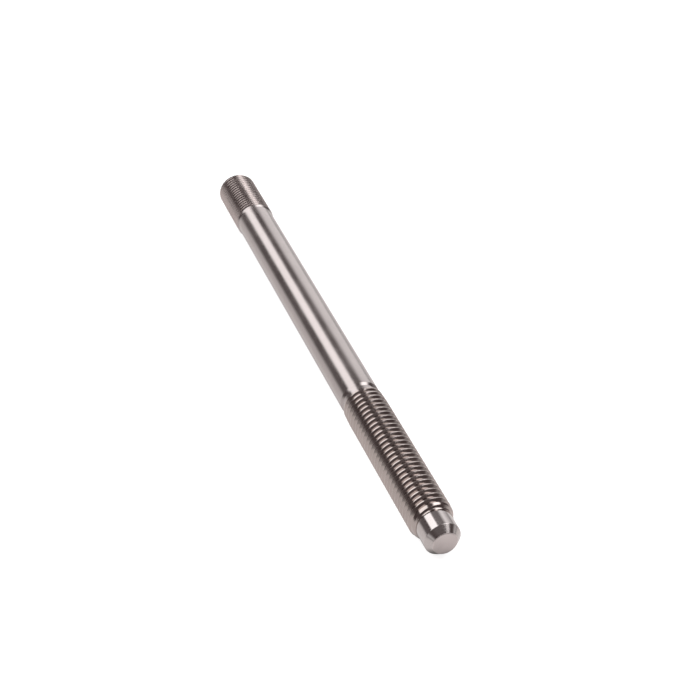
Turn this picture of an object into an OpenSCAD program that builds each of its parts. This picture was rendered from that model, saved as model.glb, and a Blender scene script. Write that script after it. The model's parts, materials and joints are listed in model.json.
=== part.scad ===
// Double-ended stud, turned from one bar of steel.
//
// The stud lies along +X with +Z up. The origin is the centre of the flat end of the nose.
// From the nose, along +X: a chamfered pilot nose, a coarse right-hand thread, a narrow neck,
// a plain ground shank, a short collar, and a fine right-hand thread up to the far end.
// Both threads are true helices with the 60 degree unified profile. All sizes are in mm.

/* [Stud] */
// Length over both ends
overall_len = 190.5; // [150:0.5:250]
// Diameter of the plain shank between the threads
shank_d = 11.8; // [11.6:0.02:12]
// How far the surface of the neck lies below that of the shank
neck_depth = 0.5; // [0.3:0.05:0.6]
// Length of the neck between the coarse thread and the bevel
neck_len = 1.55; // [0.3:0.05:2]
// Length of the bevel that rises from the neck to the shank
neck_bevel = 0.8; // [0.3:0.05:1.2]
// Height and length of the chamfer on the far end
tail_chamfer = 0.5; // [0.3:0.1:0.8]

/* [Pilot nose] */
// Diameter of the plain pilot ahead of the coarse thread
pilot_d = 10.24; // [9.6:0.02:10.4]
// Length of the plain wall of the pilot
pilot_len = 5.65; // [4:0.05:10]
// Diameter of the flat face on the end of the nose
nose_face_d = 6.8; // [5:0.1:8.5]
// Length of the cone between the nose face and the pilot
nose_cone_len = 2; // [1:0.1:3]

/* [Coarse thread] */
// Diameter over the crests
coarse_d = 12.65; // [12.4:0.01:12.68]
// Threads in one inch
coarse_tpi = 13; // [12:1:14]
// Length from the pilot to the neck
coarse_len = 55.25; // [30:0.05:60]
// Diameter of the first crest, next to the pilot
coarse_lead_d = 11.2; // [11.2:0.1:12]
// Length over which the crests rise to full height from the pilot
coarse_lead = 2.4; // [1:0.1:4]
// Diameter of the last crest, next to the neck
coarse_fade_d = 12.24; // [11.8:0.01:12.4]
// Length over which the crests fall from full height to the neck
coarse_fade = 4.8; // [4:0.1:12]
// Angle by which the helix is turned about the axis
coarse_turn = 90; // [0:5:355]

/* [Fine thread] */
// Diameter over the crests
fine_d = 12.47; // [12.46:0.01:12.66]
// Threads in one inch
fine_tpi = 20; // [18:1:24]
// Length from the shank to the far end, with the collar
fine_len = 22.4; // [15:0.1:26]
// Length of the bevel that rises from the shank to the collar
fine_bevel = 0.65; // [0.5:0.05:1.2]
// Length of the collar between the bevel and the first groove
fine_collar = 0.1; // [0.05:0.05:1.2]

/* [Thread form] */
// Straight steps that make up one turn of a thread
turn_steps = 30; // [16:2:32]

/* [Hidden] */
steel = [0.66, 0.64, 0.63];
inch = 25.4;

// Unified thread form, as parts of the pitch
crest_share = 0.2;
depth_share = 0.595;
flank_share = depth_share * tan(30);
root_share = 1 - crest_share - 2 * flank_share;

// Joined solids share a plane, and a spigot this long and this much slimmer crosses it
spigot_len = 1;
spigot_step = 1;
// How far a trimming body stands proud of the full crests
proud = 0.01;
// Height and length of the bevels where a thread's first and last crests are cut off
end_bevel = 0.45;

// Radii, and places along the stud
shank_r = shank_d / 2;
neck_r = shank_r - neck_depth;
pilot_r = pilot_d / 2;
pilot_end = nose_cone_len + pilot_len;
coarse_end = pilot_end + coarse_len;
neck_end = coarse_end + neck_len;
shank_start = neck_end + neck_bevel;
shank_end = overall_len - fine_len;
fine_start = shank_end + fine_bevel + fine_collar;

// Radius and place of each corner of the thread form, from one root to the next
function form(crest_r, pitch) =
    let (root_r = crest_r - depth_share * pitch)
    [
        [root_r, 0],
        [root_r, root_share * pitch],
        [crest_r, (root_share + flank_share) * pitch],
        [crest_r, (1 - flank_share) * pitch]
    ];

// A point of the thread form after a number of steps along the helix
function on_helix(corner, step, pitch) =
    let (a = 360 * step / turn_steps)
    [corner[0] * cos(a), corner[0] * sin(a), corner[1] + pitch * step / turn_steps];

// A right-hand threaded rod along +Z. Its helix starts one pitch below z0 and stops one
// pitch above z1, so that both of its ramped ends can be trimmed off.
module threaded_rod(crest_r, pitch, z0, z1) {
    corners = form(crest_r, pitch);
    turns = ceil((z1 - z0) / pitch) + 1;
    steps = turns * turn_steps;
    ridge = [for (k = [0:steps]) for (c = corners) on_helix(c, k, pitch)];
    // The root line of the last turn closes the surface above the ridge
    last_root = [for (k = [steps + 1:steps + turn_steps]) on_helix(corners[0], k, pitch)];
    centres = [[0, 0, pitch / 2], [0, 0, pitch * (turns + 0.5)]];
    first_last_root = len(ridge);
    low_centre = first_last_root + turn_steps;
    high_centre = low_centre + 1;
    function root(k) = k <= steps ? 4 * k : first_last_root + k - steps - 1;
    // Corner j of the form at step k, where corner 4 is the root one turn further on
    function at(k, j) = j < 4 ? 4 * k + j : root(k + turn_steps);
    wall = [for (k = [0:steps - 1]) for (j = [0:3]) for (half = [0, 1])
        half == 0
            ? [at(k, j), at(k + 1, j + 1), at(k + 1, j)]
            : [at(k, j), at(k, j + 1), at(k + 1, j + 1)]];
    low_cap = concat(
        [for (k = [0:turn_steps - 1]) [low_centre, root(k), root(k + 1)]],
        [for (j = [0:3]) [low_centre, at(0, j + 1), at(0, j)]]);
    high_cap = concat(
        [for (k = [steps:steps + turn_steps - 1]) [high_centre, root(k + 1), root(k)]],
        [for (j = [0:3]) [high_centre, at(steps, j), at(steps, j + 1)]]);
    translate([0, 0, z0 - pitch])
        polyhedron(points = concat(ridge, last_root, centres),
                   faces = concat(wall, low_cap, high_cap), convexity = 10);
}

// A body turned about +Z, given its outline as [radius, height] points
module turned(outline) {
    rotate_extrude($fn = 96) polygon(outline);
}

// The plain pilot with its cone and flat end, and a spigot into the coarse thread
module pilot_nose() {
    turned([
        [0, 0],
        [nose_face_d / 2, 0],
        [pilot_r, nose_cone_len],
        [pilot_r, pilot_end],
        [pilot_r - spigot_step, pilot_end],
        [pilot_r - spigot_step, pilot_end + spigot_len],
        [0, pilot_end + spigot_len]
    ]);
}

// The coarse thread, whose crests rise from the pilot and fall again towards the neck
module coarse_thread() {
    crest_r = coarse_d / 2;
    lead_r = coarse_lead_d / 2;
    fade_r = coarse_fade_d / 2;
    intersection() {
        rotate([0, 0, coarse_turn])
            threaded_rod(crest_r, inch / coarse_tpi, pilot_end, coarse_end);
        turned([
            [0, pilot_end],
            [lead_r - end_bevel, pilot_end],
            [lead_r, pilot_end + end_bevel],
            [crest_r + proud, pilot_end + coarse_lead],
            [crest_r + proud, coarse_end - coarse_fade],
            [fade_r, coarse_end - end_bevel],
            [fade_r - end_bevel, coarse_end],
            [0, coarse_end]
        ]);
    }
}

// The neck, the plain shank and the collar, with a spigot into each thread
module shank() {
    collar_r = fine_d / 2 + proud;
    spigot_r = neck_r - spigot_step;
    turned([
        [0, coarse_end - spigot_len],
        [spigot_r, coarse_end - spigot_len],
        [spigot_r, coarse_end],
        [neck_r, coarse_end],
        [neck_r, neck_end],
        [shank_r, shank_start],
        [shank_r, shank_end],
        [collar_r, shank_end + fine_bevel],
        [collar_r, fine_start],
        [spigot_r, fine_start],
        [spigot_r, fine_start + spigot_len],
        [0, fine_start + spigot_len]
    ]);
}

// The fine thread, which starts at the collar and ends in a chamfer
module fine_thread() {
    crest_r = fine_d / 2;
    intersection() {
        threaded_rod(crest_r, inch / fine_tpi, fine_start, overall_len);
        turned([
            [0, fine_start],
            [crest_r + proud, fine_start],
            [crest_r + proud, overall_len - tail_chamfer],
            [crest_r - tail_chamfer, overall_len],
            [0, overall_len]
        ]);
    }
}

module stud() {
    color(steel)
        rotate([0, 90, 0]) {
            pilot_nose();
            coarse_thread();
            shank();
            fine_thread();
        }
}

stud();
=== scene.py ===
"""The looks of a double-ended steel stud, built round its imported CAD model.

The stud lies along +X on a pale floor, with its nose at x = 0 and its axis at y = z = 0.
Sizes are in millimetres until a point is placed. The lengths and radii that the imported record
gives come from it, so the visual mesh fills the CAD model's own shape. Its threads are helices
in step with the CAD threads, with more steps to a turn and with rounded crests and roots.
"""

import json
import math

import bmesh
import bpy
from mathutils import Matrix, Vector


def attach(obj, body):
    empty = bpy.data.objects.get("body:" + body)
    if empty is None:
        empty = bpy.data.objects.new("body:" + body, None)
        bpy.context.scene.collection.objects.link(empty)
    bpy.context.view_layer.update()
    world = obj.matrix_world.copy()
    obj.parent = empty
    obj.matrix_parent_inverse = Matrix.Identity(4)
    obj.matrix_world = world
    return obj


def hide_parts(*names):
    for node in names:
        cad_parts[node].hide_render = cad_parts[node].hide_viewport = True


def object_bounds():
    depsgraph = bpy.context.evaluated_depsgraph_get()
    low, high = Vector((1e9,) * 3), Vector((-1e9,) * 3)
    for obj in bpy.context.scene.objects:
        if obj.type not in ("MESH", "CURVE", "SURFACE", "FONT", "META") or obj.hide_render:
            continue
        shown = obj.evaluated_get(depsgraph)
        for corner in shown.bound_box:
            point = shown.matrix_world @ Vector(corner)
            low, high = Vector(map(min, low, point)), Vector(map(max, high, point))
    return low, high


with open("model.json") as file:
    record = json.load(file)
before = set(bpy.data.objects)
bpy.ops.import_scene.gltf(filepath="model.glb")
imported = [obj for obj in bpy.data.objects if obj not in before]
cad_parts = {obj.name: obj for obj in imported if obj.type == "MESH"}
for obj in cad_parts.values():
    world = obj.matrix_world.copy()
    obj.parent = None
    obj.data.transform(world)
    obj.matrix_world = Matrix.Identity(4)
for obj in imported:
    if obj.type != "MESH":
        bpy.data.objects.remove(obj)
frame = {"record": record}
cad_low, cad_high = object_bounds()

# ------------------------------------------------------------------------------ sizes, in mm

MM = 0.001
INCH = 25.4
TAU = 2 * math.pi
# Straight steps in one turn
SEGMENTS = 96


def mount_dims(name):
    """(length, radius) of one of the record's mounts."""
    dims = next(m["dims"] for m in frame["record"]["mounts"] if m["name"] == name)
    return dims["length_mm"], dims["r_mm"]


PILOT_LEN, PILOT_R = mount_dims("pilot")
COARSE_LEN, COARSE_R = mount_dims("coarse_thread")
FINE_LEN, FINE_R = mount_dims("fine_thread")
TAIL_END = cad_high.x / MM

# The two threads have 13 and 20 ridges to the inch
COARSE_PITCH = INCH / 13
FINE_PITCH = INCH / 20
NOSE_FACE_R = 3.4
NOSE_CONE_LEN = 2.0
# Radii of the rings that divide the flat ends, from the outside in
NOSE_RINGS = (2.4, 1.6, 0.8)
TAIL_RINGS = (5.2, 3.4, 1.6)
NECK_LEN = 1.55
NECK_DEPTH = 0.5
NECK_BEVEL = 0.8
SHANK_R = 5.9
COLLAR_R = FINE_R + 0.01
COLLAR_BEVEL = 0.65
COLLAR_LEN = 0.1
TAIL_CHAMFER = 0.5
# The coarse thread's first and last crests, and how far in its crests reach their full height
LEAD_R = 5.6
LEAD_LEN = 2.4
FADE_R = 6.12
FADE_LEN = 4.8
END_BEVEL = 0.45
# Over this length before the neck the groove's root rises, to this far above the neck
ROOT_RISE_LEN = 0.3
ROOT_STEP = 0.02

PILOT_END = NOSE_CONE_LEN + PILOT_LEN
COARSE_END = PILOT_END + COARSE_LEN
NECK_R = SHANK_R - NECK_DEPTH
NECK_END = COARSE_END + NECK_LEN
SHANK_START = NECK_END + NECK_BEVEL
FINE_START = TAIL_END - FINE_LEN
SHANK_END = FINE_START - COLLAR_LEN - COLLAR_BEVEL

# Unified thread form, as parts of the pitch
CREST_SHARE = 0.2
DEPTH_SHARE = 0.595
FLANK_SHARE = DEPTH_SHARE * math.tan(math.radians(30))
# Place of the first crest after a thread's start, straight below the axis, before it is turned
FIRST_CREST = 1 - FLANK_SHARE - CREST_SHARE / 2
# Part of a turn by which the coarse thread is turned about the axis
COARSE_TURN = 0.25
# Lengths cut off the corners of the form to round them, as parts of the pitch
CREST_ROUND = 0.03
ROOT_ROUND = 0.05
# The least height that a trimmed ridge keeps above its root
LEAST_RIDGE = 0.01
# Tries at finding where a sloping trim cuts a flank, each of them closer
EDGE_TRIES = 12
# Turns of the helix beyond a thread's length, so that its ramped ends can be cut off
SPARE_TURNS = 2

# Lengths cut off the turned edges to round them
SHARP_EDGE = 0.07
SOFT_EDGE = 0.2
# The most of a side that a rounded corner may take up
MOST_CUT = 0.45
# Steps round the arc of each rounded edge
EDGE_STEPS = 4
# Edges that turn by more than this many degrees are shaded sharp
SHARP_ANGLE = 35
# Points this close to an end plane lie on it
ON_PLANE = 0.004


# ------------------------------------------------------------------------------------- mesh


def place(x, r, angle):
    """The point at a distance along the stud, a radius, and an angle from straight down."""
    return Vector((x, r * math.sin(angle), -r * math.cos(angle))) * MM


def angle_of(vert):
    """The angle from straight down at which a vertex lies, from 0 to a whole turn."""
    return math.atan2(vert.co.y, -vert.co.z) % TAU


def height_at(outline, x):
    """The radius at x of an outline of (x, radius) points, level beyond its ends."""
    if x <= outline[0][0]:
        return outline[0][1]
    for (x0, r0), (x1, r1) in zip(outline, outline[1:]):
        if x < x1:
            return r0 + (r1 - r0) * (x - x0) / (x1 - x0)
    return outline[-1][1]


def rounded(before, corner, after, cut, steps=2):
    """The points of an arc that rounds off an outline's corner, a length cut from each side."""
    corner = Vector(corner)
    ends = []
    for other in (Vector(before), Vector(after)):
        side = other - corner
        share = min(MOST_CUT, cut / side.length) if side.length else 0.0
        ends.append(corner + side * share)
    points = []
    for k in range(steps + 1):
        t = k / steps
        near = ends[0].lerp(corner, t)
        far = corner.lerp(ends[1], t)
        points.append(near.lerp(far, t))
    return points


class Thread:
    """A right-hand thread. One outline trims its crests, and another is its least radius."""

    def __init__(self, start, end, crest_r, pitch, trim, turn=0, least=((0, 0),)):
        self.start = start
        self.end = end
        self.crest_r = crest_r
        self.pitch = pitch
        self.root_r = crest_r - DEPTH_SHARE * pitch
        self.trim = trim
        self.turn = turn
        self.least = least

    def crest_at(self, x):
        return max(min(self.crest_r, height_at(self.trim, x)), self.root_r + LEAST_RIDGE)

    def crest_edge(self, centre, side):
        """Where a flank meets the crest: side is -1 towards the nose and 1 towards the tail."""
        r = self.crest_r
        for _ in range(EDGE_TRIES):
            drop_share = (self.crest_r - r) / (DEPTH_SHARE * self.pitch)
            reach = self.pitch * (CREST_SHARE / 2 + FLANK_SHARE * drop_share)
            r = self.crest_at(centre + side * reach)
        return centre + side * reach, r

    def section(self, centre):
        """The outline of one ridge, from root to root."""
        low = self.crest_edge(centre, -1)
        high = self.crest_edge(centre, 1)
        top_x = (low[0] + high[0]) / 2
        top = (top_x, self.crest_at(top_x))
        foot = self.pitch * (CREST_SHARE / 2 + FLANK_SHARE)
        low_foot = (centre - foot, self.root_r)
        high_foot = (centre + foot, self.root_r)
        low_root = (centre - self.pitch / 2, self.root_r)
        high_root = (centre + self.pitch / 2, self.root_r)
        crest_cut = CREST_ROUND * self.pitch
        root_cut = ROOT_ROUND * self.pitch
        points = rounded(low_root, low_foot, low, root_cut)
        points += rounded(low_foot, low, top, crest_cut)
        points += [Vector(top)]
        points += rounded(top, high, high_foot, crest_cut)
        points += rounded(high, high_foot, high_root, root_cut)
        return [(p.x, max(p.y, height_at(self.least, p.x))) for p in points]


def thread_wall(bm, thread, material):
    """The surface of a thread between its two end planes. Returns its two rims."""
    part = bmesh.new()
    turns = math.ceil((thread.end - thread.start) / thread.pitch) + SPARE_TURNS
    first = thread.start + thread.pitch * (FIRST_CREST - thread.turn - SPARE_TURNS)
    columns = []
    for step in range(turns * SEGMENTS + 1):
        section = thread.section(first + thread.pitch * step / SEGMENTS)
        angle = TAU * step / SEGMENTS
        columns.append([part.verts.new(place(x, r, angle)) for x, r in section])
    for step in range(turns * SEGMENTS):
        here, there = columns[step], columns[step + 1]
        if step + 1 + SEGMENTS < len(columns):
            here = here + columns[step + SEGMENTS][:1]
            there = there + columns[step + 1 + SEGMENTS][:1]
        for j in range(len(here) - 1):
            part.faces.new((here[j], there[j], there[j + 1], here[j + 1]))
    near = ON_PLANE * MM
    for x, keep in ((thread.start, 1), (thread.end, -1)):
        bmesh.ops.bisect_plane(
            part,
            geom=part.verts[:] + part.edges[:] + part.faces[:],
            dist=near,
            plane_co=(x * MM, 0, 0),
            plane_no=(keep, 0, 0),
            clear_inner=True,
        )
    copies = {v: bm.verts.new(v.co) for v in part.verts}
    for face in part.faces:
        bm.faces.new([copies[v] for v in face.verts]).material_index = material
    rims = []
    for x in (thread.start, thread.end):
        rim = [copies[v] for v in part.verts if v.is_boundary and abs(v.co.x - x * MM) <= near]
        for v in rim:
            v.co.x = x * MM
        rims.append(sorted(rim, key=angle_of))
    part.free()
    return rims


def ring(bm, x, r):
    """Vertices evenly spaced round the axis, in order of angle."""
    return [bm.verts.new(place(x, r, TAU * k / SEGMENTS)) for k in range(SEGMENTS)]


def join_rings(bm, first, second, material):
    """Faces from one ring to the next along the outline, each in order of angle."""
    if len(first) == len(second) == SEGMENTS:
        for k in range(SEGMENTS):
            n = (k + 1) % SEGMENTS
            face = bm.faces.new((first[k], first[n], second[n], second[k]))
            face.material_index = material
        return
    first_angles = [angle_of(v) for v in first[1:]] + [TAU]
    second_angles = [angle_of(v) for v in second[1:]] + [TAU]
    i = j = 0
    while i < len(first) or j < len(second):
        a, b = first[i % len(first)], second[j % len(second)]
        if j == len(second) or (i < len(first) and first_angles[i] <= second_angles[j]):
            corners = (a, first[(i + 1) % len(first)], b)
            i += 1
        else:
            corners = (a, second[(j + 1) % len(second)], b)
            j += 1
        bm.faces.new(corners).material_index = material


def join_all(bm, rings, material):
    for first, second in zip(rings, rings[1:]):
        join_rings(bm, first, second, material)


def turned(bm, outline):
    """Rings for an outline of (x, radius, rounding) corners. Its two ends aren't rounded."""
    rings = []
    for k, (x, r, cut) in enumerate(outline):
        if cut:
            before, after = outline[k - 1][:2], outline[k + 1][:2]
            rings += [ring(bm, p.x, p.y) for p in rounded(before, (x, r), after, cut, EDGE_STEPS)]
        else:
            rings.append(ring(bm, x, r))
    return rings


def end_face(bm, rim, x, radii, material, facing):
    """A flat end: rings from the rim to the axis. Facing is -1 towards -X and 1 towards +X."""
    rings = [rim] + [ring(bm, x, r) for r in radii]
    centre = bm.verts.new(place(x, 0, 0))
    if facing < 0:
        rings.reverse()
    join_all(bm, rings, material)
    inner = rings[0] if facing < 0 else rings[-1]
    for k in range(SEGMENTS):
        pair = (inner[k], inner[(k + 1) % SEGMENTS])
        corners = (centre,) + (pair[::-1] if facing < 0 else pair)
        bm.faces.new(corners).material_index = material


# Places in the stud's list of materials
GROUND, COARSE, FINE, POLISHED, FACED = range(5)


def stud_mesh():
    bm = bmesh.new()
    nose = turned(
        bm,
        [
            (0, NOSE_RINGS[0], 0),
            (0, NOSE_FACE_R, SOFT_EDGE),
            (NOSE_CONE_LEN, PILOT_R, SHARP_EDGE),
            (PILOT_END, PILOT_R, 0),
        ],
    )
    # The cone starts at the last ring of the face's rounded edge
    cone_start = 1 + EDGE_STEPS
    end_face(bm, nose[0], 0, NOSE_RINGS[1:], FACED, -1)
    join_all(bm, nose[: cone_start + 1], FACED)
    join_all(bm, nose[cone_start:], POLISHED)

    coarse = Thread(
        PILOT_END,
        COARSE_END,
        COARSE_R,
        COARSE_PITCH,
        trim=[
            (PILOT_END, LEAD_R - END_BEVEL),
            (PILOT_END + END_BEVEL, LEAD_R),
            (PILOT_END + LEAD_LEN, COARSE_R),
            (COARSE_END - FADE_LEN, COARSE_R),
            (COARSE_END - END_BEVEL, FADE_R),
            (COARSE_END, FADE_R - END_BEVEL),
        ],
        turn=COARSE_TURN,
        least=[(COARSE_END - ROOT_RISE_LEN, 0), (COARSE_END, NECK_R + ROOT_STEP)],
    )
    coarse_rims = thread_wall(bm, coarse, COARSE)
    join_rings(bm, nose[-1], coarse_rims[0], COARSE)

    shank = turned(
        bm,
        [
            (COARSE_END, NECK_R, 0),
            (NECK_END, NECK_R, SHARP_EDGE),
            (SHANK_START, SHANK_R, SHARP_EDGE),
            (SHANK_END, SHANK_R, SHARP_EDGE),
            (SHANK_END + COLLAR_BEVEL, COLLAR_R, SHARP_EDGE),
            (FINE_START, COLLAR_R, 0),
        ],
    )
    join_rings(bm, coarse_rims[1], shank[0], COARSE)
    join_all(bm, shank, GROUND)

    fine = Thread(
        FINE_START,
        TAIL_END,
        FINE_R,
        FINE_PITCH,
        trim=[
            (FINE_START, FINE_R),
            (TAIL_END - TAIL_CHAMFER, FINE_R),
            (TAIL_END, FINE_R - TAIL_CHAMFER),
        ],
    )
    fine_rims = thread_wall(bm, fine, FINE)
    join_rings(bm, shank[-1], fine_rims[0], FINE)
    end_face(bm, fine_rims[1], TAIL_END, TAIL_RINGS, FACED, 1)

    mesh = bpy.data.meshes.new("stud")
    bm.to_mesh(mesh)
    bm.free()
    return mesh


# -------------------------------------------------------------------------------- materials

# How far a tool mark runs round the stud before it changes, and the size of the patches, in m
RING_REACH = 0.006
PATCH_SIZE = 0.009
RING_DETAIL = 3
PATCH_DETAIL = 4
# The part of a noise's range that is spread over the values asked for
NOISE_LOW = 0.3
NOISE_HIGH = 0.7
# Lowest and highest share of the colour that the patches and the rings leave, and of the roughness
PATCH_SHADES = (0.94, 1.06)
RING_SHADES = (0.96, 1.04)
ROUGH_SHARES = (0.85, 1.15)
# Name, colour, roughness, anisotropy, and the rings' spacing and depth in mm, in the order of the
# stud's list of materials, from GROUND to FACED
STEELS = (
    ("steel_ground", (0.455, 0.412, 0.404), 0.21, 0.5, 0.12, 0.0006),
    ("steel_coarse", (0.46, 0.403, 0.382), 0.13, 0.3, 0.10, 0.0008),
    ("steel_fine", (0.47, 0.41, 0.395), 0.23, 0.3, 0.08, 0.0010),
    ("steel_polished", (0.54, 0.50, 0.49), 0.15, 0.3, 0.10, 0.0003),
    ("steel_faced", (0.66, 0.595, 0.585), 0.44, 0.3, 0.16, 0.0020),
)


def steel(name, colour, roughness, anisotropy, ring_size, ring_depth):
    """Bare turned steel. Its tool marks are rings round the axis, ring_size mm apart along the
    outline and ring_depth mm deep. Broad faint patches vary its colour and roughness."""
    material = bpy.data.materials.new(name)
    material.use_nodes = True
    nodes, links = material.node_tree.nodes, material.node_tree.links
    shader = nodes["Principled BSDF"]
    shader.inputs["Metallic"].default_value = 1
    shader.inputs["Anisotropic"].default_value = anisotropy
    tangent = nodes.new("ShaderNodeTangent")
    tangent.direction_type = "RADIAL"
    tangent.axis = "X"
    links.new(tangent.outputs["Tangent"], shader.inputs["Tangent"])

    def scaled(value, low, high):
        """A noise value spread from low to high."""
        node = nodes.new("ShaderNodeMapRange")
        links.new(value, node.inputs["Value"])
        node.inputs["From Min"].default_value = NOISE_LOW
        node.inputs["From Max"].default_value = NOISE_HIGH
        node.inputs["To Min"].default_value = low
        node.inputs["To Max"].default_value = high
        return node.outputs["Result"]

    def noise(vector, detail):
        node = nodes.new("ShaderNodeTexNoise")
        node.inputs["Scale"].default_value = 1
        node.inputs["Detail"].default_value = detail
        links.new(vector, node.inputs["Vector"])
        return node.outputs["Fac"]

    point = nodes.new("ShaderNodeTexCoord").outputs["Object"]
    from_axis = nodes.new("ShaderNodeVectorMath")
    from_axis.operation = "MULTIPLY"
    links.new(point, from_axis.inputs[0])
    from_axis.inputs[1].default_value = (0, 1, 1)
    radius = nodes.new("ShaderNodeVectorMath")
    radius.operation = "LENGTH"
    links.new(from_axis.outputs[0], radius.inputs[0])
    split = nodes.new("ShaderNodeSeparateXYZ")
    links.new(point, split.inputs[0])
    # x plus radius grows along every part of the outline, flat ends and plain walls alike
    outline = nodes.new("ShaderNodeMath")
    outline.operation = "ADD"
    links.new(split.outputs["X"], outline.inputs[0])
    links.new(radius.outputs["Value"], outline.inputs[1])
    along = nodes.new("ShaderNodeCombineXYZ")
    links.new(outline.outputs[0], along.inputs["X"])
    links.new(split.outputs["Y"], along.inputs["Y"])
    links.new(split.outputs["Z"], along.inputs["Z"])
    stretch = nodes.new("ShaderNodeVectorMath")
    stretch.operation = "MULTIPLY"
    links.new(along.outputs[0], stretch.inputs[0])
    stretch.inputs[1].default_value = (1 / (ring_size * MM), 1 / RING_REACH, 1 / RING_REACH)
    rings = noise(stretch.outputs[0], RING_DETAIL)
    spread = nodes.new("ShaderNodeVectorMath")
    spread.operation = "SCALE"
    links.new(point, spread.inputs[0])
    spread.inputs["Scale"].default_value = 1 / PATCH_SIZE
    patches = noise(spread.outputs[0], PATCH_DETAIL)

    tint = nodes.new("ShaderNodeVectorMath")
    tint.operation = "SCALE"
    tint.inputs[0].default_value = colour
    shade = nodes.new("ShaderNodeMath")
    shade.operation = "MULTIPLY"
    links.new(scaled(patches, *PATCH_SHADES), shade.inputs[0])
    links.new(scaled(rings, *RING_SHADES), shade.inputs[1])
    links.new(shade.outputs[0], tint.inputs["Scale"])
    links.new(tint.outputs[0], shader.inputs["Base Color"])
    smoothest, roughest = (share * roughness for share in ROUGH_SHARES)
    rough = nodes.new("ShaderNodeMath")
    rough.operation = "MULTIPLY"
    links.new(scaled(patches, smoothest, roughest), rough.inputs[0])
    links.new(scaled(rings, *ROUGH_SHARES), rough.inputs[1])
    links.new(rough.outputs[0], shader.inputs["Roughness"])
    bump = nodes.new("ShaderNodeBump")
    bump.inputs["Distance"].default_value = ring_depth * MM
    links.new(rings, bump.inputs["Height"])
    links.new(bump.outputs["Normal"], shader.inputs["Normal"])
    return material


# ------------------------------------------------------------------------------------ stage

# Half the floor's side in m, its own colour, and the glow that lifts it to white
FLOOR_HALF = 3.0
FLOOR_ALBEDO = 0.6
FLOOR_GLOW = 0.8
# What the steel mirrors of the floor: bright as far as NEAR from the stud's axis and dark from
# FAR on, in mm, and a little warm
MIRRORED_GLOW = 0.84
MIRRORED_DARK = 0.35
MIRRORED_NEAR = 12
MIRRORED_FAR = 140
MIRRORED_COLOUR = (1.03, 0.985, 0.975, 1)
# The floor is shaded under the stud: the share of its glow left there, and the distances from
# the axis, in mm, at which that share ends and the whole glow begins
SHADE_DEPTH = 0.2
SHADE_NEAR = 2
SHADE_FAR = 8
# A height in m that no point of the scene reaches
BEYOND = 10


def floor_look():
    """White paper lit a little past white. In the steel it darkens with distance."""
    material = bpy.data.materials.new("floor")
    material.use_nodes = True
    nodes, links = material.node_tree.nodes, material.node_tree.links
    paper = nodes["Principled BSDF"]
    paper.inputs["Base Color"].default_value = (FLOOR_ALBEDO,) * 3 + (1,)
    paper.inputs["Roughness"].default_value = 1
    paper.inputs["Specular IOR Level"].default_value = 0
    paper.inputs["Emission Color"].default_value = (1, 1, 1, 1)
    paper.inputs["Emission Strength"].default_value = FLOOR_GLOW

    point = nodes.new("ShaderNodeNewGeometry").outputs["Position"]
    # The nearest place to the stud's axis, level with the point: x is held between the stud's
    # ends and y at 0
    nearest = point
    for operation, limit in (
        ("MAXIMUM", (0, 0, -BEYOND)),
        ("MINIMUM", (TAIL_END * MM, 0, BEYOND)),
    ):
        clamp = nodes.new("ShaderNodeVectorMath")
        clamp.operation = operation
        links.new(nearest, clamp.inputs[0])
        clamp.inputs[1].default_value = limit
        nearest = clamp.outputs[0]
    away = nodes.new("ShaderNodeVectorMath")
    away.operation = "DISTANCE"
    links.new(point, away.inputs[0])
    links.new(nearest, away.inputs[1])

    def smooth(near, far, at_near, at_far):
        """A value that goes from one to the other between two distances in mm."""
        node = nodes.new("ShaderNodeMapRange")
        node.interpolation_type = "SMOOTHSTEP"
        links.new(away.outputs["Value"], node.inputs["Value"])
        node.inputs["From Min"].default_value = near * MM
        node.inputs["From Max"].default_value = far * MM
        node.inputs["To Min"].default_value = at_near
        node.inputs["To Max"].default_value = at_far
        return node.outputs["Result"]

    glow = nodes.new("ShaderNodeMath")
    glow.operation = "MULTIPLY"
    links.new(smooth(MIRRORED_NEAR, MIRRORED_FAR, MIRRORED_GLOW, MIRRORED_DARK), glow.inputs[0])
    links.new(smooth(SHADE_NEAR, SHADE_FAR, SHADE_DEPTH, 1), glow.inputs[1])
    mirrored = nodes.new("ShaderNodeEmission")
    mirrored.inputs["Color"].default_value = MIRRORED_COLOUR
    links.new(glow.outputs[0], mirrored.inputs["Strength"])

    path = nodes.new("ShaderNodeLightPath")
    mix = nodes.new("ShaderNodeMixShader")
    links.new(path.outputs["Is Glossy Ray"], mix.inputs[0])
    links.new(paper.outputs[0], mix.inputs[1])
    links.new(mirrored.outputs[0], mix.inputs[2])
    links.new(mix.outputs[0], nodes["Material Output"].inputs["Surface"])
    return material


def add_floor():
    mesh = bpy.data.meshes.new("floor")
    z = -COARSE_R * MM
    corners = [(x * FLOOR_HALF, y * FLOOR_HALF, z) for x, y in ((-1, -1), (1, -1), (1, 1), (-1, 1))]
    mesh.from_pydata(corners, [], [(0, 1, 2, 3)])
    floor = bpy.data.objects.new("floor", mesh)
    bpy.context.scene.collection.objects.link(floor)
    floor.data.materials.append(floor_look())


def direction(azimuth, elevation):
    a, e = math.radians(azimuth), math.radians(elevation)
    return Vector((math.cos(a) * math.cos(e), math.sin(a) * math.cos(e), math.sin(e)))


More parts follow.
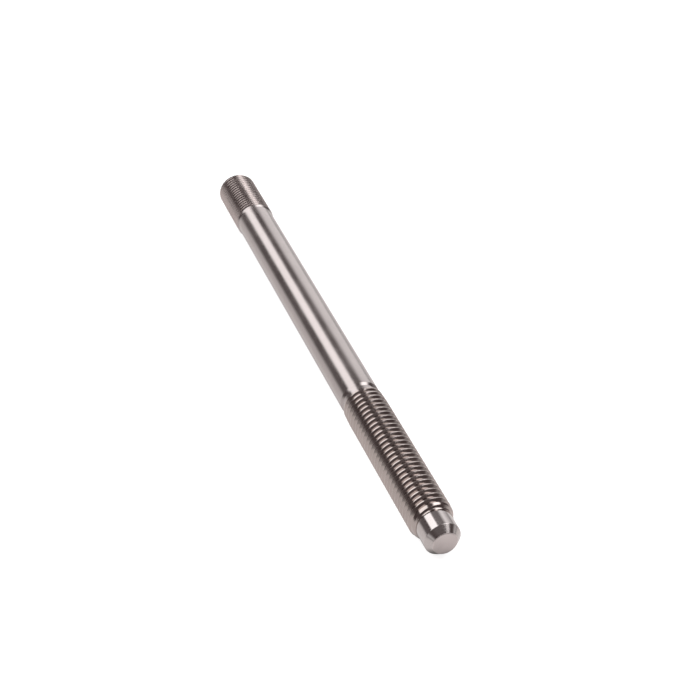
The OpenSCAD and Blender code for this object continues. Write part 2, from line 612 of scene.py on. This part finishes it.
# Flat light panels far off. Each is (azimuth from +X towards +Y, elevation, roll) of the line
# square to it, in degrees; its left, right, lower and upper edges as tangents from that line;
# the softness of its edges, also as a tangent; and its strength.
PANELS = {
    "long_overhead": ((90, 58.5, -1), (-0.4, 2.6, -0.37, 0.4), 0.05, 2.25),
    "right_wall": ((-32, 13, 0), (-0.25, 0.25, -0.3, 0.38), 0.12, 1.4),
    "long_right": ((-90, 57, 0), (-0.5, 0.515, -0.3, 0.255), 0.12, 3.2),
    "behind_right": ((-152, 33, 0), (-0.24, 0.06, -0.03, 0.2), 0.02, 3.2),
    "gap_glow": ((-18, 50, 0), (-0.4, 0.4, -0.2, 0.3), 0.15, 0.22),
    "left_wall": ((40, 6, 0), (-0.25, 0.25, -0.2, 0.2), 0.1, 0.06),
    "high_room": ((175, 50, 0), (-0.8, 0.6, -0.35, 0.5), 0.2, 0.08),
    "left_card": ((121, 2, 0), (-0.35, 0.35, -0.15, 0.15), 0.15, 0.8),
    "right_card": ((-100, 2, 0), (-0.35, 0.35, -0.15, 0.15), 0.15, 0.8),
}
# The dim warm room between the panels
AMBIENT = 0.09
AMBIENT_COLOUR = (1.2, 0.96, 0.96)
# A panel is lit only in front of its own direction, and comes up round this depth along it
FRONT_DEPTH = 0.001
# The depth that is divided by is kept off zero
LEAST_DEPTH = 0.0001
# What the camera sees past the floor
BACKGROUND = 1.0


def add_world():
    world = bpy.data.worlds.new("studio")
    bpy.context.scene.world = world
    world.use_nodes = True
    nodes, links = world.node_tree.nodes, world.node_tree.links
    nodes.clear()

    def math_node(operation, a, b=None):
        node = nodes.new("ShaderNodeMath")
        node.operation = operation
        for k, value in enumerate((a, b)):
            if value is None:
                continue
            if isinstance(value, (int, float)):
                node.inputs[k].default_value = value
            else:
                links.new(value, node.inputs[k])
        return node.outputs[0]

    toward = nodes.new("ShaderNodeTexCoord").outputs["Generated"]

    def along(axis):
        node = nodes.new("ShaderNodeVectorMath")
        node.operation = "DOT_PRODUCT"
        links.new(toward, node.inputs[0])
        node.inputs[1].default_value = axis
        return node.outputs["Value"]

    def soft_step(value, edge, softness):
        """0 below the edge and 1 above it."""
        node = nodes.new("ShaderNodeMapRange")
        node.interpolation_type = "SMOOTHSTEP"
        links.new(value, node.inputs["Value"])
        node.inputs["From Min"].default_value = edge - softness
        node.inputs["From Max"].default_value = edge + softness
        return node.outputs["Result"]

    total = 0.0
    for (azimuth, elevation, roll), (left, right, low, high), softness, strength in PANELS.values():
        front = direction(azimuth, elevation)
        turn = Matrix.Rotation(math.radians(roll), 3, front)
        up = turn @ direction(azimuth, elevation + 90)
        side = front.cross(up)
        depth = along(front)
        safe_depth = math_node("MAXIMUM", depth, LEAST_DEPTH)
        x = math_node("DIVIDE", along(side), safe_depth)
        y = math_node("DIVIDE", along(up), safe_depth)
        mask = soft_step(depth, FRONT_DEPTH, FRONT_DEPTH)
        for value, edge in ((x, left), (y, low)):
            mask = math_node("MULTIPLY", mask, soft_step(value, edge, softness))
        for value, edge in ((x, right), (y, high)):
            beyond = soft_step(value, edge, softness)
            mask = math_node("MULTIPLY", mask, math_node("SUBTRACT", 1.0, beyond))
        total = math_node("ADD", math_node("MULTIPLY", mask, strength), total)

    panels = nodes.new("ShaderNodeBackground")
    links.new(total, panels.inputs["Strength"])
    room = nodes.new("ShaderNodeBackground")
    room.inputs["Color"].default_value = (*AMBIENT_COLOUR, 1)
    room.inputs["Strength"].default_value = AMBIENT
    lit = nodes.new("ShaderNodeAddShader")
    links.new(panels.outputs[0], lit.inputs[0])
    links.new(room.outputs[0], lit.inputs[1])
    backdrop = nodes.new("ShaderNodeBackground")
    backdrop.inputs["Color"].default_value = (1, 1, 1, 1)
    backdrop.inputs["Strength"].default_value = BACKGROUND
    path = nodes.new("ShaderNodeLightPath")
    mix = nodes.new("ShaderNodeMixShader")
    links.new(path.outputs["Is Camera Ray"], mix.inputs[0])
    links.new(lit.outputs[0], mix.inputs[1])
    links.new(backdrop.outputs[0], mix.inputs[2])
    output = nodes.new("ShaderNodeOutputWorld")
    links.new(mix.outputs[0], output.inputs["Surface"])


# Camera: place in metres, heading from +X and tilt in degrees, and lens in mm
CAMERA_PLACE = (-0.30214, 0.13245, 0.29721)
CAMERA_HEADING = -19.404
CAMERA_TILT = -35.637
CAMERA_LENS = 88.06
# The nose end is in focus, and the far end a little soft
FOCUS_DISTANCE = 0.47
F_STOP = 75


def add_camera():
    data = bpy.data.cameras.new("camera")
    data.lens = CAMERA_LENS
    data.sensor_width = 36
    data.clip_start = 0.01
    data.clip_end = 20
    data.dof.use_dof = True
    data.dof.focus_distance = FOCUS_DISTANCE
    data.dof.aperture_fstop = F_STOP
    camera = bpy.data.objects.new("camera", data)
    bpy.context.scene.collection.objects.link(camera)
    camera.location = CAMERA_PLACE
    look = direction(CAMERA_HEADING, CAMERA_TILT)
    camera.rotation_mode = "QUATERNION"
    camera.rotation_quaternion = look.to_track_quat("-Z", "Y")
    bpy.context.scene.camera = camera


# ------------------------------------------------------------------------------------ build

stud = bpy.data.objects.new("steel_stud", stud_mesh())
bpy.context.scene.collection.objects.link(stud)
for values in STEELS:
    stud.data.materials.append(steel(*values))
stud.data.shade_smooth()
stud.data.set_sharp_from_angle(angle=math.radians(SHARP_ANGLE))
weighted = stud.modifiers.new("flat faces keep their normals", "WEIGHTED_NORMAL")
weighted.keep_sharp = True
weighted.weight = 100

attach(stud, "root")
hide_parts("stud")

add_floor()
add_world()
add_camera()
bpy.context.scene.view_settings.view_transform = "Standard"
